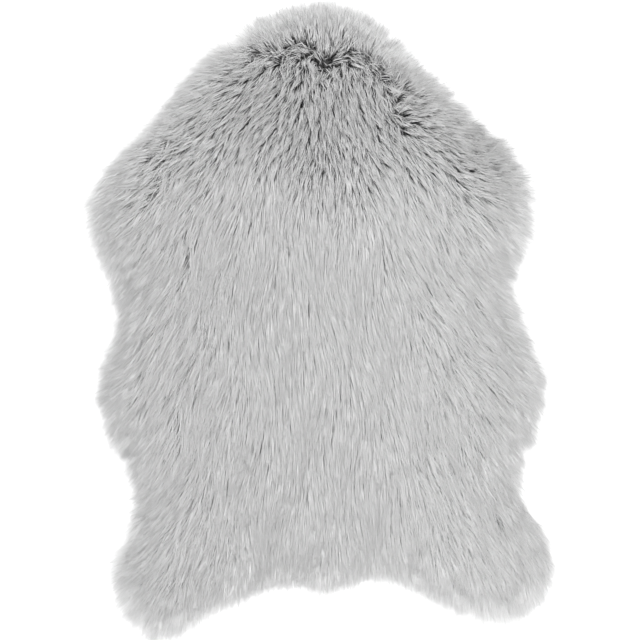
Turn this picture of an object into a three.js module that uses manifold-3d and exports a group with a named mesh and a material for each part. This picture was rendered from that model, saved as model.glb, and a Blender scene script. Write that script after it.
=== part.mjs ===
import * as THREE from "three";
import { mergeVertices } from "three/addons/utils/BufferGeometryUtils.js";
import Module from "manifold-3d";

// A pelt-shaped shag rug lying flat: a low, lumpy slab of combed pile with locks fanning out
// all round its rim. Millimetres, Z up, head end towards +Y, underside on Z = 0.

const rugLength = 900; // tip to tip, head to hind leg
const drawnLength = 900; // length at which the tables below are drawn
const field = { width: 690, length: 930 }; // covers the rug on all sides

const fringeDepth = 17; // how far the rim's locks reach past the slab
const rimHeight = 2; // slab at its very edge
const crownHeight = 29; // slab over the middle, without its tufts
const shoulder = { width: 95, power: 2.1 }; // the climb from the edge to full height
const slabStep = { across: 11.1, along: 17.8 }; // spacing of the points of the top

// Tufts climb along the pile for the first part of their length, then drop at their tips.
const tuft = { length: 104, width: 44, relief: 13, rise: 0.6, lap: 1.24, shift: 0.28 };
const partingGroove = { depth: 16, width: 17 };
const partingFan = 45; // past its open ends the pile fans round within this length
const whorlPit = { depth: 11, width: 20 };

const lock = { count: 146, steps: 3, length: 50, width: 27, height: 10 };
const lockTip = { width: 2.4, height: 1.4 };
const lockSides = [
  { across: -0.5, up: 0 },
  { across: 0.5, up: 0 },
  { across: 0, up: 1 },
];
const leastOutward = 0.84; // locks point out of the rim by this much or more, 1 straight out

// Tips of the pile round the rim, clockwise from the head. comb is the way that the pile lies,
// in degrees: 0 towards +X, 90 towards the head, -90 towards the tail.
const rim = [
  { at: "top of the head", x: 0, y: 450, comb: 91 },
  { at: "head, right", x: 55, y: 436, comb: 74 },
  { at: "temple, right", x: 112, y: 389, comb: 48 },
  { at: "neck, right", x: 169, y: 338, comb: 18 },
  { at: "upper foreleg, right", x: 225, y: 280, comb: -4 },
  { at: "foreleg, right", x: 280, y: 226, comb: -18 },
  { at: "forepaw, right", x: 298, y: 162, comb: -28 },
  { at: "under the forepaw, right", x: 290, y: 107, comb: -42 },
  { at: "waist, right", x: 273, y: 58, comb: -48 },
  { at: "flank, right", x: 286, y: -2, comb: -40 },
  { at: "upper hip, right", x: 302, y: -54, comb: -46 },
  { at: "hip, right", x: 315, y: -98, comb: -56 },
  { at: "under the hip, right", x: 309, y: -150, comb: -60 },
  { at: "thigh, right", x: 288, y: -198, comb: -62 },
  { at: "knee, right", x: 281, y: -236, comb: -58 },
  { at: "shin, right", x: 298, y: -286, comb: -54 },
  { at: "ankle, right", x: 322, y: -326, comb: -56 },
  { at: "hind paw, right", x: 327, y: -370, comb: -64 },
  { at: "toe, right", x: 303, y: -408, comb: -74 },
  { at: "sole, right", x: 247, y: -426, comb: -84 },
  { at: "heel, right", x: 183, y: -412, comb: -88 },
  { at: "notch, right", x: 86, y: -369, comb: -86 },
  { at: "tail", x: 12, y: -388, comb: -90 },
  { at: "notch, left", x: -46, y: -378, comb: -92 },
  { at: "heel, left", x: -104, y: -396, comb: -95 },
  { at: "sole, left", x: -168, y: -427, comb: -98 },
  { at: "toe, left", x: -228, y: -450, comb: -108 },
  { at: "hind paw, left", x: -272, y: -423, comb: -126 },
  { at: "outer paw, left", x: -295, y: -374, comb: -142 },
  { at: "ankle, left", x: -286, y: -328, comb: -156 },
  { at: "shin, left", x: -266, y: -280, comb: -144 },
  { at: "knee, left", x: -265, y: -229, comb: -122 },
  { at: "thigh, left", x: -292, y: -182, comb: -118 },
  { at: "hip, left", x: -315, y: -126, comb: -124 },
  { at: "upper hip, left", x: -307, y: -67, comb: -130 },
  { at: "flank, left", x: -289, y: -6, comb: -128 },
  { at: "waist, left", x: -296, y: 43, comb: -122 },
  { at: "under the forepaw, left", x: -319, y: 94, comb: -128 },
  { at: "forepaw, left", x: -330, y: 148, comb: -138 },
  { at: "foreleg, left", x: -313, y: 199, comb: -152 },
  { at: "upper foreleg, left", x: -273, y: 250, comb: -158 },
  { at: "shoulder, left", x: -226, y: 300, comb: -162 },
  { at: "neck, left", x: -171, y: 359, comb: -174 },
  { at: "temple, left", x: -115, y: 407, comb: 152 },
  { at: "head, left", x: -58, y: 439, comb: 114 },
];

// How the pile lies inside the rim.
const combed = [
  { at: "brow, left", x: -78, y: 398, comb: 124 },
  { at: "brow", x: 0, y: 405, comb: 92 },
  { at: "brow, right", x: 58, y: 395, comb: 72 },
  { at: "cheek, right", x: 122, y: 345, comb: 36 },
  { at: "behind the whorl", x: 145, y: 305, comb: 10 },
  { at: "nape", x: 0, y: 300, comb: -92 },
  { at: "back", x: 0, y: 100, comb: -90 },
  { at: "loin", x: 0, y: -100, comb: -89 },
  { at: "rump", x: 0, y: -300, comb: -91 },
  { at: "nape, left", x: -115, y: 300, comb: -142 },
  { at: "shoulder, left", x: -110, y: 215, comb: -114 },
  { at: "ribs, left", x: -155, y: 110, comb: -97 },
  { at: "belly, left", x: -155, y: -100, comb: -99 },
  { at: "rump, left", x: -155, y: -290, comb: -103 },
  { at: "upper foreleg, left of its whorl", x: -232, y: 244, comb: -168 },
  { at: "foreleg, left of its whorl", x: -238, y: 200, comb: -156 },
  { at: "upper foreleg, right of its whorl", x: -196, y: 240, comb: -122 },
  { at: "foreleg, right of its whorl", x: -200, y: 192, comb: -112 },
  { at: "side, left", x: -240, y: 130, comb: -128 },
  { at: "flank, left", x: -240, y: 0, comb: -124 },
  { at: "hip, left", x: -240, y: -140, comb: -116 },
  { at: "hind leg, left", x: -205, y: -335, comb: -117 },
  { at: "nape, right", x: 58, y: 300, comb: -74 },
  { at: "under the whorl", x: 108, y: 255, comb: -50 },
  { at: "ribs, right", x: 140, y: 160, comb: -72 },
  { at: "belly, right", x: 140, y: -10, comb: -79 },
  { at: "rump, right", x: 140, y: -250, comb: -77 },
  { at: "foreleg, right", x: 185, y: 215, comb: -54 },
  { at: "side, right", x: 225, y: 130, comb: -50 },
  { at: "flank, right", x: 225, y: 0, comb: -53 },
  { at: "hip, right", x: 225, y: -140, comb: -63 },
  { at: "hind leg, right", x: 225, y: -330, comb: -68 },
];

// The parting behind the brow, left to right. Above it the pile is combed to the head and
// below it to the tail. Its open rows are where the hair falls away to both sides.
const parting = [
  { x: -172, y: 366, open: false },
  { x: -99, y: 386, open: true },
  { x: -54, y: 369, open: true },
  { x: -23, y: 382, open: true },
  { x: 6, y: 360, open: true },
  { x: 37, y: 375, open: true },
  { x: 64, y: 364, open: true },
  { x: 104, y: 340, open: true },
  { x: 113, y: 296, open: false },
  { x: 232, y: 279, open: false },
];
const whorls = [
  { at: "right temple", x: 112, y: 297 },
  { at: "left upper foreleg", x: -214, y: 245 },
  { at: "left foreleg", x: -220, y: 205 },
];

const wasm = await Module();
wasm.setup();

const scale = rugLength / drawnLength;

// A repeatable number from 0 to 1 for item number and use.
function stray(item, use) {
  const s = Math.sin(item * 12.9898 + use * 78.233) * 43758.5453;
  return s - Math.floor(s);
}

function toSolid(geometry) {
  const bare = geometry.clone();
  bare.deleteAttribute("normal");
  bare.deleteAttribute("uv");
  const merged = mergeVertices(bare);
  return new wasm.Manifold(
    new wasm.Mesh({
      numProp: 3,
      vertProperties: merged.attributes.position.array,
      triVerts: new Uint32Array(merged.index.array),
    }),
  );
}

function toGeometry(solid) {
  const mesh = solid.getMesh();
  const geometry = new THREE.BufferGeometry();
  geometry.setAttribute("position", new THREE.BufferAttribute(mesh.vertProperties, 3));
  geometry.setIndex(new THREE.BufferAttribute(mesh.triVerts, 1));
  return geometry;
}

function geometryOf(points, triangles) {
  const geometry = new THREE.BufferGeometry();
  const flat = points.flatMap((p) => [p.x, p.y, p.z]);
  geometry.setAttribute("position", new THREE.Float32BufferAttribute(flat, 3));
  geometry.setIndex(triangles.flat());
  return geometry;
}

// The rim as a closed curve through its rows.
function rimCurve() {
  const points = rim.map((row) => new THREE.Vector3(row.x * scale, row.y * scale, 0));
  return new THREE.CatmullRomCurve3(points, true, "centripetal");
}

// Even points along the rim, each with its way out.
function rimPoints(count) {
  const curve = rimCurve();
  curve.arcLengthDivisions = 2000;
  const points = curve.getSpacedPoints(count).slice(0, count);
  return points.map((p, i) => {
    const before = points[(i + count - 1) % count];
    const after = points[(i + 1) % count];
    const along = after.clone().sub(before).normalize();
    return { x: p.x, y: p.y, outX: -along.y, outY: along.x };
  });
}

function distanceToLine(x, y, line, closed) {
  let least = Infinity;
  const last = closed ? line.length : line.length - 1;
  for (let i = 0; i < last; i++) {
    const a = line[i];
    const b = line[(i + 1) % line.length];
    const dx = b.x - a.x;
    const dy = b.y - a.y;
    const along = ((x - a.x) * dx + (y - a.y) * dy) / (dx * dx + dy * dy);
    const share = Math.min(1, Math.max(0, along));
    least = Math.min(least, Math.hypot(x - a.x - share * dx, y - a.y - share * dy));
  }
  return least;
}

function partingHeightAt(x) {
  const next = parting.findIndex((row) => row.x * scale > x);
  if (next === 0) return parting[0].y * scale;
  if (next < 0) return parting[parting.length - 1].y * scale;
  const a = parting[next - 1];
  const b = parting[next];
  return (a.y + ((b.y - a.y) * (x / scale - a.x)) / (b.x - a.x)) * scale;
}

const strokes = [...rim, ...combed].map((row) => {
  const x = row.x * scale;
  const y = row.y * scale;
  const turn = (row.comb * Math.PI) / 180;
  return { x, y, headward: y > partingHeightAt(x), dx: Math.cos(turn), dy: Math.sin(turn) };
});

const openParting = parting
  .filter((row, i) => row.open || (i > 0 && parting[i - 1].open))
  .map((row) => ({ x: row.x * scale, y: row.y * scale }));

// The way that the pile lies at a point: the nearer a stroke, the more it counts. Strokes from
// across the parting count only past its open ends.
function combAt(x, y) {
  const headward = y > partingHeightAt(x);
  const pastEnds = Math.max(openParting[0].x - x, x - openParting.at(-1).x);
  const across = THREE.MathUtils.smoothstep(pastEnds, 0, partingFan);
  let dx = 0;
  let dy = 0;
  for (const stroke of strokes) {
    const counts = stroke.headward === headward ? 1 : across;
    const weight = counts / (Math.hypot(x - stroke.x, y - stroke.y) + 12) ** 3;
    dx += weight * stroke.dx;
    dy += weight * stroke.dy;
  }
  const size = Math.hypot(dx, dy);
  return { dx: dx / size, dy: dy / size };
}

const slabRim = rimPoints(150).map((p) => ({
  x: p.x - p.outX * fringeDepth,
  y: p.y - p.outY * fringeDepth,
}));

// Tufts in staggered rows, each turned the way that the pile lies there.
function layTufts() {
  const laid = [];
  const rowStep = tuft.length / 2;
  const columns = Math.ceil(field.width / tuft.width);
  const rows = Math.ceil(field.length / rowStep);
  for (let row = 0; row <= rows; row++) {
    for (let column = 0; column <= columns; column++) {
      const item = row * (columns + 1) + column;
      const shiftX = (stray(item, 1) - 0.5) * 2 * tuft.shift;
      const shiftY = (stray(item, 2) - 0.5) * 2 * tuft.shift;
      const x = (column - columns / 2 + (row % 2) / 2 + shiftX) * tuft.width * scale;
      const y = (row - rows / 2 + shiftY) * rowStep * scale;
      const size = 0.78 + 0.44 * stray(item, 3);
      laid.push({ x, y, size, ...combAt(x, y) });
    }
  }
  return laid;
}

const tufts = layTufts();

// 0 in the crease between tufts, 1 on the back of the highest.
function tuftAt(x, y) {
  let highest = 0;
  for (const each of tufts) {
    const offX = x - each.x;
    const offY = y - each.y;
    if (Math.abs(offX) + Math.abs(offY) > tuft.length * 1.5) continue;
    const along = (offX * each.dx + offY * each.dy) / (tuft.length * each.size) + 0.5;
    const halfWidth = (tuft.width * tuft.lap * each.size) / 2;
    const across = (offX * each.dy - offY * each.dx) / halfWidth;
    if (along < 0 || along > 1 || Math.abs(across) > 1) continue;
    const climb = along < tuft.rise ? along / tuft.rise : (1 - along) / (1 - tuft.rise);
    highest = Math.max(highest, each.size * climb * (1 - across * across));
  }
  return highest;
}

function heightAt(x, y) {
  const fromEdge = Math.min(1, distanceToLine(x, y, slabRim, true) / shoulder.width);
  const bank = 1 - (1 - fromEdge) ** shoulder.power;
  const offParting = distanceToLine(x, y, openParting, false) / partingGroove.width;
  let height = rimHeight + (crownHeight - rimHeight) * bank;
  height += tuft.relief * (tuftAt(x, y) - 0.4) * Math.min(1, 1.4 * bank);
  height -= partingGroove.depth * bank * Math.exp(-offParting * offParting);
  for (const whorl of whorls) {
    const offX = x - whorl.x * scale;
    const offY = y - whorl.y * scale;
    const off = Math.hypot(offX, offY) / whorlPit.width;
    height -= whorlPit.depth * bank * Math.exp(-off * off);
  }
  return Math.max(rimHeight, height);
}

// The pile's top as a closed block over the whole field, cut to the slab's rim afterwards.
function pileBlock() {
  const columns = Math.ceil((field.width * scale) / slabStep.across);
  const rows = Math.ceil((field.length * scale) / slabStep.along);
  const points = [];
  const triangles = [];
  for (let row = 0; row <= rows; row++) {
    for (let column = 0; column <= columns; column++) {
      const x = (column - columns / 2 + (row % 2) / 2 - 0.25) * slabStep.across;
      const y = (row - rows / 2) * slabStep.along;
      points.push({ x, y, z: heightAt(x, y) });
    }
  }
  const topCount = points.length;
  for (let i = 0; i < topCount; i++) {
    points.push({ x: points[i].x, y: points[i].y, z: -10 });
  }
  for (let row = 0; row < rows; row++) {
    for (let column = 0; column < columns; column++) {
      const a = row * (columns + 1) + column;
      const b = a + 1;
      const c = a + columns + 1;
      const d = c + 1;
      const top = row % 2 ? [[a, b, d], [a, d, c]] : [[a, b, c], [b, d, c]];
      triangles.push(...top);
      triangles.push(...top.map(([p, q, r]) => [p + topCount, r + topCount, q + topCount]));
    }
  }
  const wall = (p, q) => {
    triangles.push([p, p + topCount, q + topCount], [p, q + topCount, q]);
  };
  const last = rows * (columns + 1);
  for (let column = 0; column < columns; column++) {
    wall(column, column + 1);
    wall(last + column + 1, last + column);
  }
  for (let row = 0; row < rows; row++) {
    wall((row + 1) * (columns + 1), row * (columns + 1));
    wall(row * (columns + 1) + columns, (row + 1) * (columns + 1) + columns);
  }
  return toSolid(geometryOf(points, triangles));
}

function slabSolid() {
  const shape = new THREE.Shape(slabRim.map((p) => new THREE.Vector2(p.x, p.y)));
  const prism = new THREE.ExtrudeGeometry(shape, { depth: 80, bevelEnabled: false });
  return pileBlock().intersect(toSolid(prism));
}

// The rings of a lock from inside the slab out to its tip on the rim, bent a little aside.
function lockRings(tip, item) {
  const lie = combAt(tip.x, tip.y);
  const outward = Math.max(leastOutward, lie.dx * tip.outX + lie.dy * tip.outY);
  const along = Math.sign(lie.dy * tip.outX - lie.dx * tip.outY) * Math.sqrt(1 - outward ** 2);
  const dx = outward * tip.outX - along * tip.outY;
  const dy = outward * tip.outY + along * tip.outX;
  const turn = Math.atan2(dy, dx) + (stray(item, 4) - 0.5) * 0.3;
  const length = lock.length * (0.9 + 0.3 * stray(item, 5));
  const short = 9 * stray(item, 6) ** 2;
  const bow = (stray(item, 7) - 0.5) * 0.5 * length;
  const width = lock.width * (0.85 + 0.35 * stray(item, 8));
  const height = lock.height * (0.8 + 0.4 * stray(item, 9));
  const rings = [];
  for (let step = 0; step <= lock.steps; step++) {
    const t = step / lock.steps;
    const back = (1 - t) * length + short;
    const aside = bow * t * (1 - t);
    const fullness = 1 - t ** 2.2;
    rings.push({
      x: tip.x - back * Math.cos(turn) - aside * Math.sin(turn),
      y: tip.y - back * Math.sin(turn) + aside * Math.cos(turn),
      turn,
      width: lockTip.width + (width - lockTip.width) * fullness,
      height: lockTip.height + (height - lockTip.height) * fullness,
    });
  }
  return rings;
}

// A keeled lock through its rings, flat beneath.
function lockSolid(rings) {
  const points = [];
  for (const ring of rings) {
    for (const side of lockSides) {
      points.push({
        x: ring.x + side.across * ring.width * Math.sin(ring.turn),
        y: ring.y - side.across * ring.width * Math.cos(ring.turn),
        z: side.up * ring.height,
      });
    }
  }
  const count = lockSides.length;
  const triangles = [[0, 1, 2]];
  for (let step = 0; step < rings.length - 1; step++) {
    for (let side = 0; side < count; side++) {
      const a = step * count + side;
      const b = step * count + ((side + 1) % count);
      triangles.push([a, a + count, b], [b, a + count, b + count]);
    }
  }
  const end = (rings.length - 1) * count;
  triangles.push([end, end + 2, end + 1]);
  return toSolid(geometryOf(points, triangles));
}

function rugSolid() {
  let rug = slabSolid();
  rimPoints(lock.count).forEach((tip, item) => {
    rug = rug.add(lockSolid(lockRings(tip, item)));
  });
  return rug;
}

const pileMaterial = new THREE.MeshStandardMaterial({
  color: 0xc4c4c4,
  roughness: 0.95,
  metalness: 0,
});

const rugShape = toGeometry(rugSolid());
rugShape.computeBoundingBox();
const middle = rugShape.boundingBox.getCenter(new THREE.Vector3());
rugShape.translate(-middle.x, -middle.y, 0);
rugShape.computeVertexNormals();

const pile = new THREE.Mesh(rugShape, pileMaterial);
pile.name = "shag_pile";

const rug = new THREE.Group();
rug.add(pile);

export default rug;
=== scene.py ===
import bpy
import numpy as np
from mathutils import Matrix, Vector
from mathutils.geometry import delaunay_2d_cdt


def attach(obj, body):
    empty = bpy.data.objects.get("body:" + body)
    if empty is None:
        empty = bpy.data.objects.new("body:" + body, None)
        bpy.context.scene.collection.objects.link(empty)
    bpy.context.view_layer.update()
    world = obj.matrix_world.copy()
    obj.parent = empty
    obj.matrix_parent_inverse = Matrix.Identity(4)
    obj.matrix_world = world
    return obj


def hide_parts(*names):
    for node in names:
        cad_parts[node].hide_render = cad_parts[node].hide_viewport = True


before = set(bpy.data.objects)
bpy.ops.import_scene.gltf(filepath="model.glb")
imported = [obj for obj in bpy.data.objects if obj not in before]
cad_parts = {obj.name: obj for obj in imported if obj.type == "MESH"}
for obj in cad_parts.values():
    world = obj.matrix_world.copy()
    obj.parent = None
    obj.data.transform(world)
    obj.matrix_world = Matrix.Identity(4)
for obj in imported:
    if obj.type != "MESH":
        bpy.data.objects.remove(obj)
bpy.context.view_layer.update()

mm = 0.001

# tips of the pile round the rim, clockwise from the head
# x mm, y mm, comb degrees (0 right, 90 to the head)
rimRows = np.array([
    (0, 450, 91), (55, 436, 74), (112, 389, 48), (169, 338, 18), (225, 280, -4),
    (280, 226, -18), (298, 162, -28), (290, 107, -36), (273, 58, -30), (286, -2, -26),
    (302, -54, -36), (315, -98, -48), (309, -150, -60), (288, -198, -62), (281, -236, -58),
    (298, -286, -54), (322, -326, -56), (327, -370, -64), (303, -408, -74), (247, -426, -84),
    (183, -412, -88), (86, -369, -86), (12, -388, -90), (-46, -378, -92), (-104, -396, -95),
    (-168, -427, -98), (-228, -450, -108), (-272, -423, -126), (-295, -374, -142), (-286, -328, -156),
    (-266, -280, -144), (-265, -229, -122), (-292, -182, -120), (-315, -126, -140), (-307, -67, -144),
    (-289, -6, -128), (-296, 43, -122), (-319, 94, -128), (-330, 148, -138), (-313, 199, -152),
    (-273, 250, -158), (-226, 300, -162), (-171, 359, -174), (-115, 407, 152), (-58, 439, 114),
], float)

# the comb of the brow, nape and shoulders, same columns
foreRows = [
    (-78, 398, 124), (0, 405, 92), (58, 395, 72), (116, 345, 36), (126, 302, 8),
    (-115, 300, -142), (-45, 320, -127), (0, 310, -91), (45, 300, -79), (74, 298, -58),
    (-232, 244, -168), (-196, 240, -136), (-130, 255, -125), (-45, 250, -119),
    (0, 250, -90), (45, 255, -82), (98, 250, -52), (170, 255, -34),
    (-238, 200, -154), (-198, 195, -118), (-130, 205, -106), (-60, 190, -104),
    (0, 190, -91), (84, 195, -75), (160, 200, -68), (232, 195, -18),
    (235, 235, -12), (200, 148, -62), (250, 148, -44), (132, 276, -20),
]

# the comb of the body: degrees at each of these x, one row for each y
bodyColumns = (-240, -180, -105, -50, 0, 60, 120, 170, 225)
bodyCombs = {
    130: (-128, -104, -94, -92, -90, -88, -72, -66, -48),
    0: (-128, -105, -88, -80, -79, -78, -78, -66, -46),
    -120: (-120, -105, -93, -91, -95, -88, -84, -72, -60),
    -290: (-126, -107, -88, -94, -92, -90, -80, -74, -62),
}
bodyRows = [(x, y, turn) for y, turns in bodyCombs.items() for x, turn in zip(bodyColumns, turns)]

# the parting, left to right: x mm, y mm, open hair (1) or only a change of comb (0)
partingRows = np.array([
    (-172, 366, 0), (-99, 386, 1), (-54, 369, 1), (-23, 382, 1), (6, 360, 1), (37, 375, 1),
    (64, 364, 1), (99, 338, 1), (102, 288, 0), (232, 279, 0),
], float)

# whorls: x mm, y mm, how wild the hair is there
whorls = np.array([
    (103, 291, 0.4), (-214, 245, 0.8), (-220, 205, 0.8), (228, 215, 0.6), (200, 250, 0.3),
], float)

# where the hair that reaches the rim grows longer: x mm, y mm, how much more
longRoots = np.array([
    (82, 384, 0.4), (0, 410, 0.08), (-90, 385, 0.27), (-135, 345, 0.36), (-225, 262, -0.6),
    (205, 225, -0.28), (250, 165, 0.3), (240, 70, 0.06), (245, -10, 0.14), (262, -140, 0.1),
    (235, -200, 0.14), (285, -335, 0.14), (265, -385, 0.26), (225, -390, 0.1),
    (-265, -100, -0.12), (-225, -405, 0.18), (-185, -395, 0.16),
], float)

# where a broad band of the rim is smooth and painted pale, for light through its thin hair: x mm, y mm
softRims = np.array([
    (-50, 445), (50, 440), (-305, 205), (-328, 140), (-290, -400), (-235, -445), (-170, -430),
    (-90, -390), (0, -385), (85, -370), (165, -400), (240, -425), (300, -405),
    (-140, 385), (-195, 325),
], float)

# where the hair stays coarse out to the rim, with painted shade for the dark sides of its locks: x mm, y mm
coarseRims = np.array([(200, 262), (243, 208)], float)


# fields of the pelt, all in mm

def smooth(low, high, value):
    t = np.clip((value - low) / (high - low), 0, 1)
    return t * t * (3 - 2 * t)


# 1 at the place itself, fading out over the width
def fade(away, width):
    return np.exp(-(away / width) ** 2)


def distancesTo(points, places):
    return np.linalg.norm(points[:, None] - places[None, :, :2], axis=2)


def closedCurve(points, steps):
    before, after = np.roll(points, 1, 0), np.roll(points, -1, 0)
    afterNext = np.roll(points, -2, 0)
    t = (np.arange(steps) / steps)[None, :, None]
    a, b, c, d = before[:, None], points[:, None], after[:, None], afterNext[:, None]
    curve = 0.5 * (2 * b + (c - a) * t + (2 * a - 5 * b + 4 * c - d) * t**2 + (3 * b - a - 3 * c + d) * t**3)
    return curve.reshape(-1, points.shape[1])


def lineDistance(points, line, closed):
    starts = line if closed else line[:-1]
    ends = np.roll(line, -1, 0) if closed else line[1:]
    way = ends - starts
    off = points[:, None] - starts[None]
    share = np.clip((off * way).sum(2) / (way * way).sum(1), 0, 1)
    return np.linalg.norm(off - share[..., None] * way[None], axis=2).min(1)


def insideOf(points, line):
    x, y = points[:, :1], points[:, 1:]
    ax, ay = line[:, 0], line[:, 1]
    bx, by = np.roll(ax, -1), np.roll(ay, -1)
    crosses = (ay > y) != (by > y)
    rise = np.where(by == ay, 1e-9, by - ay)
    return (crosses & (x < ax + (bx - ax) * (y - ay) / rise)).sum(1) % 2 == 1


# how far a point lies towards the head from the parting
def pastParting(points):
    return points[:, 1] - np.interp(points[:, 0], partingRows[:, 0], partingRows[:, 1])


# the ground cloth: its edge lies the inset inside the tips, less at the head
cloth = {
    "thick": 1.8, "lift": 0.3, "grid": 8, "halfField": (340, 460),
    "inset": 44, "headInset": 28, "headFrom": 260, "headTo": 350,
    "edgeSteps": 40, "edgePasses": 40, "edgeEvery": 6,
}


def insetAt(y):
    atHead = smooth(cloth["headFrom"], cloth["headTo"], y)
    return cloth["inset"] + (cloth["headInset"] - cloth["inset"]) * atHead


rimWays = np.stack([np.cos(np.radians(rimRows[:, 2])), np.sin(np.radians(rimRows[:, 2]))], 1)
rimRoots = np.column_stack([rimRows[:, :2] - insetAt(rimRows[:, 1:2]) * rimWays, rimRows[:, 2]])
strokes = np.vstack([rimRows, rimRoots, foreRows, bodyRows])
strokeWays = np.stack([np.cos(np.radians(strokes[:, 2])), np.sin(np.radians(strokes[:, 2]))], 1)
strokeHeadward = pastParting(strokes[:, :2]) > 0


# the comb turns over within a few mm of the parting, and over the fan past its ends
combing = {"fan": 45, "turnFrom": -5, "turnTo": 6, "blur": 12}


# the nearer a stroke, the more it counts, and one across the parting hardly at all
def combAt(points):
    pastEnds = np.maximum(partingRows[1, 0] - points[:, 0], points[:, 0] - partingRows[-2, 0])
    across = smooth(0, combing["fan"], pastEnds)[:, None]
    headShare = smooth(combing["turnFrom"], combing["turnTo"], pastParting(points))[:, None]
    sameSide = np.where(strokeHeadward[None], headShare, 1 - headShare)
    weight = np.maximum(sameSide, across) / (distancesTo(points, strokes) + combing["blur"]) ** 3
    way = weight @ strokeWays
    return way / np.linalg.norm(way, axis=1, keepdims=True)


# the top of the combed pile climbs from its rim to full height over the bank
pile = {"rimTop": 2, "climb": 29, "bank": 95, "bankPower": 2.1, "rimSteps": 8}
furRim = closedCurve(rimRows[:, :2], pile["rimSteps"])


def pileTopAt(points):
    fromRim = lineDistance(points, furRim, True) * np.where(insideOf(points, furRim), 1, -1)
    bank = 1 - (1 - np.clip(fromRim / pile["bank"], 0, 1)) ** pile["bankPower"]
    return pile["rimTop"] + pile["climb"] * bank


print("fields ready")


# ground cloth

def clothRim():
    tips = closedCurve(rimRows[:, :2], cloth["edgeSteps"])
    roots = tips - insetAt(tips[:, 1:]) * combAt(tips)
    for _ in range(cloth["edgePasses"]):
        roots = 0.5 * roots + 0.25 * (np.roll(roots, 1, 0) + np.roll(roots, -1, 0))
    return roots[::cloth["edgeEvery"]]


edge = clothRim()
spacing = cloth["grid"]
halfWidth, halfLength = cloth["halfField"]
gridX, gridY = np.meshgrid(np.arange(-halfWidth, halfWidth + 1, spacing),
                           np.arange(-halfLength, halfLength + 1, spacing))
gridX[1::2] += spacing // 2
inner = np.stack([gridX.ravel(), gridY.ravel()], 1).astype(float)
inner = inner[insideOf(inner, edge) & (lineDistance(inner, edge, True) > spacing * 0.6)]
flat = np.vstack([edge, inner])
count = len(edge)
corners, _, faces, *_ = delaunay_2d_cdt(
    [Vector(p) for p in flat], [(i, (i + 1) % count) for i in range(count)], [], 1, 0.01)
spots = np.array([tuple(c) for c in corners])


def addObject(name, mesh):
    obj = bpy.data.objects.new(name, mesh)
    bpy.context.scene.collection.objects.link(obj)
    return obj


clothTop = cloth["lift"] + cloth["thick"]
clothMesh = bpy.data.meshes.new("ground_cloth")
clothMesh.from_pydata([(x * mm, y * mm, clothTop * mm) for x, y in spots], [], [list(f) for f in faces])
if clothMesh.polygons[0].normal.z < 0:
    clothMesh.flip_normals()
groundCloth = addObject("ground_cloth", clothMesh)

# how the hair lies and stands over the cloth, lengths in mm
lay = {
    "uprightFrom": 130, "uprightTo": 260,  # y where the hair begins to stand, and stands
    "uprightBends": [(15, 60, 22), (-110, 70, -25)],  # x, width, how much further back
    "partingWidth": 22, "whorlWidth": 24, "crownCalm": 0.8,
    "bareLine": 0.12, "bareLineWidth": 4, "bareSpot": 0.15, "bareSpotWidth": 9,
    "reach": 64, "uprightShorter": 34, "ruffleShorter": 8, "midShare": 0.3,
    "rimReach": 1.31, "rimWidth": 45, "longWidth": 45, "coarseWidth": 45, "softWidth": 75,
    "swayWaves": [(0.1, 23, 41, 0), (0.08, 11, -31, 1.3)],  # turn, mm in x, mm in y, start
}
# hair tone: a base, darkened by painted shade towards the head and where the rim stays coarse, lightened on
# the flanks, and by painted light on the rim
tones = {"body": 0.66, "paintedShade": 0.19, "coarseShaded": 0.19, "flank": 0.07, "paintedLightRim": 0.28}

spotX, spotY = spots[:, 0], spots[:, 1]
furtherBack = sum(move * fade(spotX - x, width) for x, width, move in lay["uprightBends"])
upright = smooth(lay["uprightFrom"], lay["uprightTo"], spotY + furtherBack)
crown = smooth(0, 22, pastParting(spots)) * smooth(340, 370, spotY)
flank = smooth(80, 180, abs(spotX)) * smooth(-440, -380, spotY)
# coarse stretches of the rim: rougher, livelier hair, and painted shade in its tone
coarseShaded = fade(distancesTo(spots, coarseRims), lay["coarseWidth"]).sum(1).clip(0, 1)
soft = fade(distancesTo(spots, softRims), lay["softWidth"]).sum(1).clip(0, 1)

toParting = lineDistance(spots, partingRows[1:-1, :2], False)
toWhorls = distancesTo(spots, whorls)
nearWhorl = (whorls[:, 2] * fade(toWhorls, lay["whorlWidth"])).max(1)
ruffle = np.maximum(fade(toParting, lay["partingWidth"]) * (1 - lay["crownCalm"] * crown), nearWhorl)
lively = np.maximum(np.maximum(upright * (1 - 0.5 * crown), 1.2 * flank), 1.2 * coarseShaded)

# the hair is a little sparser along the parting and in the whorls
bareLine = lay["bareLine"] * smooth(-100, -60, spotX) * fade(toParting, lay["bareLineWidth"])
bareSpot = lay["bareSpot"] * (whorls[:, 2] * fade(toWhorls, lay["bareSpotWidth"])).max(1)
bare = np.maximum(bareLine, bareSpot)

toEdge = lineDistance(spots, edge, True)
inward = smooth(0, lay["rimWidth"], toEdge)
longer = fade(distancesTo(spots, longRoots), lay["longWidth"]) @ longRoots[:, 2]
edgeReach = insetAt(spotY) * (lay["rimReach"] + longer)
insideReach = lay["reach"] - lay["uprightShorter"] * upright - lay["ruffleShorter"] * ruffle
reach = edgeReach + inward * (insideReach - edgeReach)

comb = combAt(spots)
sway = sum(turn * np.sin(spotX / dx + spotY / dy + start) for turn, dx, dy, start in lay["swayWaves"])
sway = sway * inward
comb = np.column_stack([comb[:, 0] * np.cos(sway) - comb[:, 1] * np.sin(sway),
                        comb[:, 0] * np.sin(sway) + comb[:, 1] * np.cos(sway)])
tipTop = pileTopAt(spots + comb * reach[:, None])
midTop = pileTopAt(spots + comb * reach[:, None] * lay["midShare"])

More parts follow.
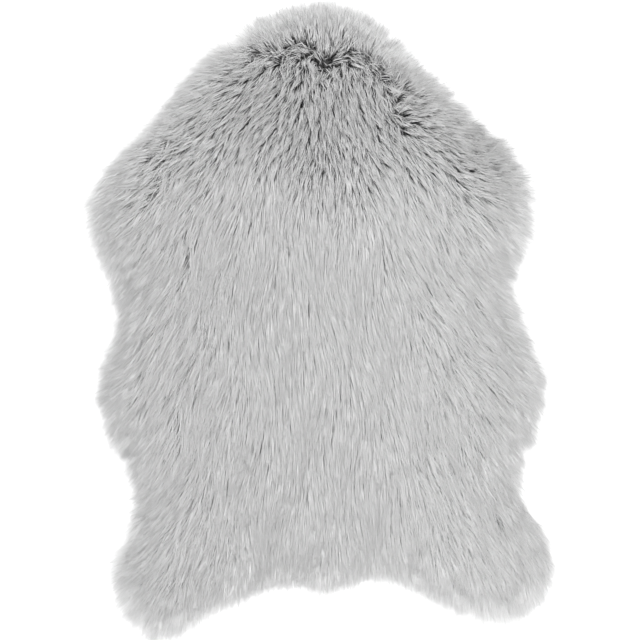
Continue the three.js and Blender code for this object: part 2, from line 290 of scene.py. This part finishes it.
# the rim is painted paler, for light through its thin hair over the white floor, and its hair is finer, most
# of all in its soft stretches
rimBand = 1 - smooth(-8, 38, toEdge)
paintedLightRim = rimBand * soft + (1 - smooth(-16, 20, toEdge)) * (1 - soft)
paintedLightRim = paintedLightRim * (1 - 0.45 * coarseShaded)
# painted shade: the tone darkens towards the head, where the hair stands upright, except on the crown and on
# the rim's painted light
paintedShade = smooth(170, 330, spotY + furtherBack) * (1 - paintedLightRim) * (1 - 0.9 * crown)
tone = tones["body"] - tones["paintedShade"] * paintedShade - tones["coarseShaded"] * coarseShaded
tone = tone + tones["flank"] * flank + tones["paintedLightRim"] * paintedLightRim

furFields = {
    "comb": np.column_stack([comb, np.zeros(len(comb))]),
    "reach": reach * mm,
    "tip_top": tipTop * mm,
    "mid_top": midTop * mm,
    "upright": upright,
    "ruffle": ruffle,
    "cover": 1 - bare - 0.1 * flank,
    "lively": lively,
    "inward": 1 - 0.65 * paintedLightRim,
    "tone": tone,
}
for name, values in furFields.items():
    isVector = values.ndim == 2
    layer = clothMesh.attributes.new(name, "FLOAT_VECTOR" if isVector else "FLOAT", "POINT")
    layer.data.foreach_set("vector" if isVector else "value",
                           np.ascontiguousarray(values, np.float32).ravel())


# materials

def newMaterial(name):
    material = bpy.data.materials.new(name)
    material.use_nodes = True
    nodes = material.node_tree.nodes
    return material, nodes, material.node_tree.links, nodes["Principled BSDF"]


def hairMaterial(name, look):
    material, nodes, links, shader = newMaterial(name)
    uv = nodes.new("ShaderNodeUVMap")
    uv.uv_map = "OFBake"
    split = nodes.new("ShaderNodeSeparateXYZ")
    along = nodes.new("ShaderNodeValToRGB")
    shade = nodes.new("ShaderNodeMapRange")
    tone = nodes.new("ShaderNodeMix")
    tone.data_type = "RGBA"
    tone.blend_type = "MULTIPLY"
    tone.inputs["Factor"].default_value = 1
    stops = along.color_ramp.elements
    while len(stops) < len(look["along"]):
        stops.new(0.5)
    for stop, (place, grey) in zip(stops, look["along"]):
        stop.position = place
        stop.color = (grey, grey, grey, 1)
    shade.inputs["To Min"].default_value = look["dark"]
    shade.inputs["To Max"].default_value = look["light"]
    links.new(uv.outputs["UV"], split.inputs[0])
    links.new(split.outputs["X"], shade.inputs["Value"])
    links.new(split.outputs["Y"], along.inputs["Fac"])
    links.new(along.outputs["Color"], tone.inputs["A"])
    links.new(shade.outputs["Result"], tone.inputs["B"])
    links.new(tone.outputs["Result"], shader.inputs["Base Color"])
    shader.inputs["Roughness"].default_value = look["roughness"]
    shader.inputs["Specular IOR Level"].default_value = look["specular"]
    return material


# along: grey from root to tip, the darker roots a painted shade deep in the pile; dark and light: the
# darkest and the palest hairs
underHair = hairMaterial("under_hair", {
    "along": [(0.0, 0.2), (0.4, 0.44), (1.0, 0.68)],
    "dark": 0.3, "light": 1.4, "roughness": 0.8, "specular": 0.2})
guardHair = hairMaterial("guard_hair", {
    "along": [(0.0, 0.2), (0.2, 0.48), (0.45, 0.74), (0.8, 0.84), (1.0, 0.88)],
    "dark": 0.6, "light": 1.13, "roughness": 0.7, "specular": 0.25})
print("hair materials ready")


# fur tree

# one hair: pairs are the lowest and highest random share of what they multiply
strand = {
    "sides": 3, "ownLength": (0.78, 1.13), "lockLength": (0.85, 1.1), "fringe": (-0.35, 0.1),
    "lean": (0.12, 0.26), "rise": (0.85, 1.2), "bend": 0.4, "livelyBend": 1.5,
    "livelyWander": 1.6, "ruffleWander": 9, "uprightLower": 0.3,
    "pull": (0.55, 1), "leastGather": 0.75, "livelyGather": 0.25,
    "girth": (0.7, 1.4), "livelyFiner": 0.25, "rimGirth": 0.25, "innerGirth": 0.75, "tipFlare": 1.5,
    "lockShade": 0.35, "shadeSpread": 0.22, "livelySpread": 0.34,
    "mapWidth": 0.01, "mapStart": 0.01, "mapLength": 0.98,
}
lockSeed = 900  # the same in every coat, so that the coats lie together
hairFields = ("hair_root", "hair_mid", "hair_tip", "hair_shade", "hair_girth")

furInputs = [
    ("Geometry", "NodeSocketGeometry", None), ("Hairs", "NodeSocketFloat", 20000),
    ("Seed", "NodeSocketInt", 1), ("Locks", "NodeSocketFloat", 30000),
    ("Pull", "NodeSocketFloat", 0.6), ("Length", "NodeSocketFloat", 1),
    ("Low", "NodeSocketFloat", 0.6), ("High", "NodeSocketFloat", 1),
    ("Thickness", "NodeSocketFloat", 0.0006), ("Flatness", "NodeSocketFloat", 0.5),
    ("Stray", "NodeSocketFloat", 0.15), ("Steps", "NodeSocketInt", 3),
    ("Hair", "NodeSocketMaterial", None),
]


class Nodes:
    # short hand for building a geometry tree: values go to inputs in order, None keeps the default

    def __init__(self, tree):
        self.tree = tree

    def add(self, kind, *values, **facts):
        node = self.tree.nodes.new(kind)
        for key, value in facts.items():
            setattr(node, key, value)
        for target, value in zip([s for s in node.inputs if s.enabled], values):
            if isinstance(value, bpy.types.NodeSocket):
                self.tree.links.new(value, target)
            elif value is not None:
                target.default_value = value
        return node

    def out(self, node):
        return next(s for s in node.outputs if s.enabled)

    def math(self, operation, *values):
        return self.out(self.add("ShaderNodeMath", *values, operation=operation))

    def vector(self, operation, *values):
        return self.out(self.add("ShaderNodeVectorMath", *values, operation=operation))

    def scaled(self, vector, factor):
        node = self.add("ShaderNodeVectorMath", operation="SCALE")
        self.tree.links.new(vector, node.inputs["Vector"])
        if isinstance(factor, bpy.types.NodeSocket):
            self.tree.links.new(factor, node.inputs["Scale"])
        else:
            node.inputs["Scale"].default_value = factor
        return self.out(node)

    def named(self, name, kind):
        return self.out(self.add("GeometryNodeInputNamedAttribute", name, data_type=kind))

    def random(self, low, high, seed):
        return self.out(self.add("FunctionNodeRandomValue", low, high, None, seed, data_type="FLOAT"))

    def store(self, geometry, name, kind, domain, value):
        node = self.add("GeometryNodeStoreNamedAttribute", geometry, None, name, value,
                        data_type=kind, domain=domain)
        return node.outputs["Geometry"]


def furTree():
    tree = bpy.data.node_groups.new("combed_fur", "GeometryNodeTree")
    tree.interface.new_socket("Geometry", in_out="OUTPUT", socket_type="NodeSocketGeometry")
    for name, kind, value in furInputs:
        made = tree.interface.new_socket(name, in_out="INPUT", socket_type=kind)
        if value is not None:
            made.default_value = value
    n = Nodes(tree)
    given = tree.nodes.new("NodeGroupInput").outputs
    position = n.out(n.add("GeometryNodeInputPosition"))
    comb = n.vector("NORMALIZE", n.named("comb", "FLOAT_VECTOR"))
    reach = n.named("reach", "FLOAT")
    tipTop = n.named("tip_top", "FLOAT")
    midTop = n.named("mid_top", "FLOAT")
    upright = n.named("upright", "FLOAT")
    ruffle = n.named("ruffle", "FLOAT")

    def turned(vector, angle):
        return n.out(n.add("ShaderNodeVectorRotate", vector, (0, 0, 0), angle, rotation_type="Z_AXIS"))

    def seeded(number):
        return n.math("ADD", n.math("MULTIPLY", given["Seed"], 17), number)

    # where a hair or a lock of that comb ends
    def tipOf(wander, lengths, seed):
        angle = n.math("MULTIPLY", n.random(-1, 1, seed(1)), wander)
        long = n.math("MULTIPLY", reach, n.random(*lengths, seed(2)))
        atRim = n.math("SUBTRACT", 1, n.named("inward", "FLOAT"))
        fringe = n.math("MULTIPLY", atRim, n.random(*strand["fringe"], seed(10)))
        long = n.math("MULTIPLY", long, n.math("MULTIPLY", given["Length"], n.math("ADD", 1, fringe)))
        lower = n.math("SUBTRACT", 1, n.math("MULTIPLY", upright, strand["uprightLower"]))
        lowest = n.math("MULTIPLY", given["Low"], lower)
        high = n.math("MULTIPLY", tipTop, n.random(lowest, given["High"], seed(3)))
        flat = n.scaled(turned(comb, angle), long)
        up = n.out(n.add("ShaderNodeCombineXYZ", 0, 0, high))
        return n.vector("ADD", n.vector("ADD", position, flat), up)

    lively = n.named("lively", "FLOAT")
    wild = n.math("ADD", n.math("MULTIPLY", lively, strand["livelyWander"]),
                  n.math("MULTIPLY", ruffle, strand["ruffleWander"]))
    wander = n.math("MULTIPLY", n.math("ADD", wild, 1), given["Stray"])

    # the locks: a few points whose tips the hairs nearby lean to
    locks = n.add("GeometryNodeDistributePointsOnFaces", given["Geometry"], None, given["Locks"], 5)
    lockTip = tipOf(wander, strand["lockLength"], lambda number: lockSeed + number)
    nearest = n.add("GeometryNodeSampleNearest", locks.outputs["Points"], position)
    lockSample = n.add("GeometryNodeSampleIndex", locks.outputs["Points"], lockTip, n.out(nearest),
                       data_type="FLOAT_VECTOR")

    # the hairs: a root, a bend above it and a tip part of the way to the lock's
    crowd = n.math("MULTIPLY", given["Hairs"], n.named("cover", "FLOAT"))
    hairs = n.add("GeometryNodeDistributePointsOnFaces", given["Geometry"], None, crowd, seeded(0))
    ownTip = tipOf(wander, strand["ownLength"], seeded)
    gather = n.math("ADD", n.math("MULTIPLY", lively, strand["livelyGather"]), strand["leastGather"])
    gather = n.math("MULTIPLY", gather, n.named("inward", "FLOAT"))
    pull = n.math("MULTIPLY", given["Pull"], gather)
    pull = n.math("MULTIPLY", pull, n.random(*strand["pull"], seeded(4)))
    mixTip = n.add("ShaderNodeMix", pull, ownTip, n.out(lockSample), data_type="VECTOR")
    tip = n.out(mixTip)
    looser = n.math("ADD", 1, n.math("MULTIPLY", lively, strand["livelyBend"]))
    bend = n.math("MULTIPLY", n.random(-strand["bend"], strand["bend"], seeded(8)), looser)
    lean = n.scaled(turned(comb, bend), n.math("MULTIPLY", reach, n.random(*strand["lean"], seeded(5))))
    rise = n.math("MULTIPLY", midTop, n.random(*strand["rise"], seeded(6)))
    rise = n.out(n.add("ShaderNodeCombineXYZ", 0, 0, rise))
    mid = n.vector("ADD", n.vector("ADD", position, lean), rise)

    points = hairs.outputs["Points"]
    points = n.store(points, "hair_root", "FLOAT_VECTOR", "POINT", position)
    points = n.store(points, "hair_mid", "FLOAT_VECTOR", "POINT", mid)
    points = n.store(points, "hair_tip", "FLOAT_VECTOR", "POINT", tip)
    girth = n.random(*strand["girth"], seeded(9))
    girth = n.math("SUBTRACT", girth, n.math("MULTIPLY", lively, strand["livelyFiner"]))
    inner = n.math("MULTIPLY", n.named("inward", "FLOAT"), strand["innerGirth"])
    girth = n.math("MULTIPLY", girth, n.math("ADD", strand["rimGirth"], inner))
    points = n.store(points, "hair_girth", "FLOAT", "POINT", girth)
    lockDraw = n.random(-0.5, 0.5, lockSeed + 7)
    lockShade = n.add("GeometryNodeSampleIndex", locks.outputs["Points"], lockDraw,
                      n.out(nearest), data_type="FLOAT")
    bothShades = n.add("ShaderNodeMix", strand["lockShade"], n.random(-0.5, 0.5, seeded(7)),
                       n.out(lockShade), data_type="FLOAT")
    spread = n.math("ADD", n.math("MULTIPLY", lively, strand["livelySpread"]), strand["shadeSpread"])
    shade = n.math("ADD", n.math("MULTIPLY", n.out(bothShades), spread), n.named("tone", "FLOAT"))
    shade = n.math("MINIMUM", n.math("MAXIMUM", shade, 0.02), 0.98)
    points = n.store(points, "hair_shade", "FLOAT", "POINT", shade)
    blade = n.add("GeometryNodeMeshCone", strand["sides"], given["Steps"], 1, 0, 1, 1, fill_type="NGON")
    placed = n.add("GeometryNodeInstanceOnPoints", points)
    tree.links.new(blade.outputs["Mesh"], placed.inputs["Instance"])
    real = n.out(n.add("GeometryNodeRealizeInstances", placed.outputs["Instances"]))

    # each blade is bent along its own curve, with the map's height running from root to tip
    root = n.named("hair_root", "FLOAT_VECTOR")
    mid = n.named("hair_mid", "FLOAT_VECTOR")
    tip = n.named("hair_tip", "FLOAT_VECTOR")
    place = n.add("ShaderNodeSeparateXYZ", n.vector("SUBTRACT", position, root))
    t = place.outputs["Z"]
    left = n.math("SUBTRACT", 1, t)
    mapX = n.math("MULTIPLY", place.outputs["X"], strand["mapWidth"])
    mapX = n.math("ADD", n.named("hair_shade", "FLOAT"), mapX)
    mapY = n.math("ADD", n.math("MULTIPLY", t, strand["mapLength"]), strand["mapStart"])
    uv = n.out(n.add("ShaderNodeCombineXYZ", mapX, mapY, 0))
    real = n.store(real, "OFBake", "FLOAT2", "CORNER", uv)

    line = n.vector("ADD", n.scaled(root, n.math("MULTIPLY", left, left)),
                    n.scaled(mid, n.math("MULTIPLY", n.math("MULTIPLY", left, t), 2)))
    line = n.vector("ADD", line, n.scaled(tip, n.math("MULTIPLY", t, t)))
    way = n.vector("ADD", n.scaled(n.vector("SUBTRACT", mid, root), left),
                   n.scaled(n.vector("SUBTRACT", tip, mid), t))
    way = n.vector("NORMALIZE", way)
    side = n.vector("NORMALIZE", n.vector("CROSS_PRODUCT", way, (0, 0, 1)))
    over = n.vector("CROSS_PRODUCT", way, side)
    full = n.math("ADD", 1, n.math("MULTIPLY", t, strand["tipFlare"]))
    full = n.math("MULTIPLY", full, given["Thickness"])
    full = n.math("MULTIPLY", full, n.named("hair_girth", "FLOAT"))
    ring = n.vector("ADD", n.scaled(side, place.outputs["X"]),
                    n.scaled(over, n.math("MULTIPLY", place.outputs["Y"], given["Flatness"])))
    shaped = n.add("GeometryNodeSetPosition", real)
    tree.links.new(n.vector("ADD", line, n.scaled(ring, full)), shaped.inputs["Position"])
    done = n.out(shaped)
    for name in (*hairFields, *furFields):
        done = n.out(n.add("GeometryNodeRemoveAttribute", done, name))
    done = n.out(n.add("GeometryNodeSetShadeSmooth", done))
    done = n.add("GeometryNodeSetMaterial", done)
    tree.links.new(given["Hair"], done.inputs["Material"])
    tree.links.new(n.out(done), tree.nodes.new("NodeGroupOutput").inputs["Geometry"])
    return tree


fur = furTree()
furSockets = {s.name: s.identifier for s in fur.interface.items_tree if s.in_out == "INPUT"}
print("fur tree ready")


# one coat of hair as a plain mesh; cover may say where it grows
def growFur(name, look, cover=None):
    host = addObject(name + "_host", clothMesh.copy())
    if cover is not None:
        host.data.attributes["cover"].data.foreach_set("value", cover.astype(np.float32))
    modifier = host.modifiers.new("fur", "NODES")
    modifier.node_group = fur
    for key, value in look.items():
        modifier[furSockets[key]] = value
    host.update_tag()
    bpy.context.view_layer.update()
    graph = bpy.context.evaluated_depsgraph_get()
    mesh = bpy.data.meshes.new_from_object(host.evaluated_get(graph), depsgraph=graph)
    bpy.data.objects.remove(host)
    mesh.name = name
    coat = addObject(name, mesh)
    mesh.calc_loop_triangles()
    print(name, len(mesh.loop_triangles), "triangles")
    return coat


share = 1.0  # of the hairs

undercoat = growFur("undercoat", {
    "Hairs": 46000.0 * share, "Seed": 3, "Locks": 26000.0, "Pull": 0.3, "Length": 0.7,
    "Low": 0.35, "High": 0.7, "Thickness": 0.0011, "Flatness": 0.6, "Stray": 0.22, "Steps": 2,
    "Hair": underHair})

guardLook = {
    "Hairs": 46000.0 * share, "Locks": 19000.0, "Pull": 0.95, "Length": 1.0,
    "Low": 0.8, "High": 1.05, "Thickness": 0.00074, "Flatness": 0.4, "Stray": 0.08, "Steps": 2,
    "Hair": guardHair}
coats = [undercoat]
for number in range(4):
    coats.append(growFur("coat_" + str(number + 1), {**guardLook, "Seed": 11 + number}))

# finer hairs that soften the rim
rimLook = {
    **guardLook, "Hairs": 350000.0 * share, "Seed": 23, "Length": 1.03,
    "Thickness": 0.0006, "Stray": 0.16}
coats.append(growFur("rim_hair", rimLook, rimBand))
print("fur grown")


# the cloth gets its thickness and backing

# the backing's dark grey is the cloth's own grey deepened with painted shade from the pile above it
knit = {"ribs": 260, "relief": 0.0004, "strength": 0.4, "grey": 0.16}
backing, nodes, links, shader = newMaterial("knit_backing")
coord = nodes.new("ShaderNodeTexCoord")
rib = nodes.new("ShaderNodeTexWave")
rib.inputs["Scale"].default_value = knit["ribs"]
bump = nodes.new("ShaderNodeBump")
bump.inputs["Strength"].default_value = knit["strength"]
bump.inputs["Distance"].default_value = knit["relief"]
links.new(coord.outputs["Object"], rib.inputs["Vector"])
links.new(rib.outputs["Fac"], bump.inputs["Height"])
links.new(bump.outputs["Normal"], shader.inputs["Normal"])
shader.inputs["Base Color"].default_value = (knit["grey"], knit["grey"], knit["grey"], 1)
shader.inputs["Roughness"].default_value = 0.95
clothMesh.materials.append(backing)
for name in furFields:
    clothMesh.attributes.remove(clothMesh.attributes[name])
thick = groundCloth.modifiers.new("thickness", "SOLIDIFY")
thick.thickness = cloth["thick"] * mm
thick.offset = -1
graph = bpy.context.evaluated_depsgraph_get()
solid = bpy.data.meshes.new_from_object(groundCloth.evaluated_get(graph), depsgraph=graph)
groundCloth.modifiers.clear()
groundCloth.data = solid
solid.name = "ground_cloth"

for piece in [groundCloth, *coats]:
    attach(piece, "root")
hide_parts("shag_pile")
print("pieces ride on the frame")


# studio

studio = {"floorHalf": 6, "floorGrey": 0.93, "daylight": 1.22, "lens": 85, "sensor": 36, "height": 2.142}
half = studio["floorHalf"]
floorMesh = bpy.data.meshes.new("floor")
floorCorners = [(-half, -half, 0), (half, -half, 0), (half, half, 0), (-half, half, 0)]
floorMesh.from_pydata(floorCorners, [], [(0, 1, 2, 3)])
floor = addObject("floor", floorMesh)
paint, *_, shader = newMaterial("floor_paint")
paintGrey = studio["floorGrey"]
shader.inputs["Base Color"].default_value = (paintGrey, paintGrey, paintGrey, 1)
shader.inputs["Roughness"].default_value = 0.9
shader.inputs["Specular IOR Level"].default_value = 0.0
floorMesh.materials.append(paint)

world = bpy.data.worlds.new("studio")
world.use_nodes = True
world.node_tree.nodes["Background"].inputs["Color"].default_value = (1, 1, 1, 1)
world.node_tree.nodes["Background"].inputs["Strength"].default_value = studio["daylight"]
bpy.context.scene.world = world


def softBox(name, look):
    light = bpy.data.lights.new(name, "AREA")
    light.shape = "RECTANGLE"
    light.size, light.size_y = look["size"]
    light.energy = look["power"]
    lamp = bpy.data.objects.new(name, light)
    bpy.context.scene.collection.objects.link(lamp)
    lamp.location = look["place"]
    aim = Vector(look["aim"]) - lamp.location
    lamp.rotation_euler = aim.to_track_quat("-Z", "Y").to_euler()


softBox("key_box", {"size": (2, 2), "power": 28, "place": (0.7, -1.3, 2.6), "aim": (0, 0, 0)})

camera = bpy.data.cameras.new("camera")
camera.lens = studio["lens"]
camera.sensor_width = studio["sensor"]
eye = bpy.data.objects.new("camera", camera)
bpy.context.scene.collection.objects.link(eye)
eye.location = (0, 0, studio["height"])
bpy.context.scene.camera = eye
bpy.context.scene.view_settings.view_transform = "Standard"
bpy.context.scene.view_settings.look = "None"
print("studio ready")
